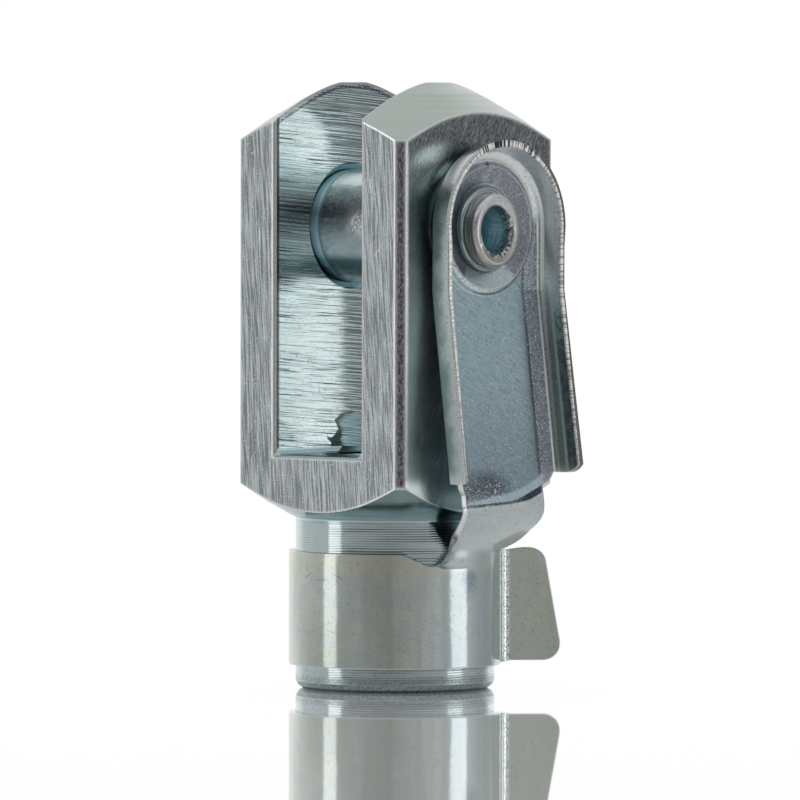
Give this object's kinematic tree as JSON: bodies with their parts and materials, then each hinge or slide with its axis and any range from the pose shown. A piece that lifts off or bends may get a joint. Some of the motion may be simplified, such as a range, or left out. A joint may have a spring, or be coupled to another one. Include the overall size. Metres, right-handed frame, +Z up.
{
  "type": "clevis rod end",
  "caption": "Clevis rod end: a slotted square fork head with a threaded neck, and a cross pin held by a spring clip that snaps round the neck.",
  "frame": {"origin": "centre of the neck's flat bottom face, on the thread axis", "axes": "+Z up the thread axis towards the pin, +X along the pin towards the spring clip, -Y out of one open side of the slot"},
  "size_m": [0.0216, 0.0167, 0.0426],
  "materials": {
    "fork_steel": "turned and milled free-cutting steel, zinc plated and blue passivated",
    "pin_steel": "smooth turned steel, zinc plated and blue passivated",
    "clip_steel": "stamped spring steel strip, zinc plated and blue passivated, with sheared edges"
  },
  "bodies": {
    "fork": {"fork_head": "fork_steel"},
    "clip_and_pin": {"clevis_pin": "pin_steel", "spring_clip": "clip_steel"}
  },
  "joints": [
    {"name": "clip_swing", "type": "hinge", "parent": "fork", "child": "clip_and_pin", "pos_m": [0, 0, 0.0325], "axis": [-1, 0, 0], "range_deg": [0, 320], "deforming": ["spring_clip"]}
  ]
}
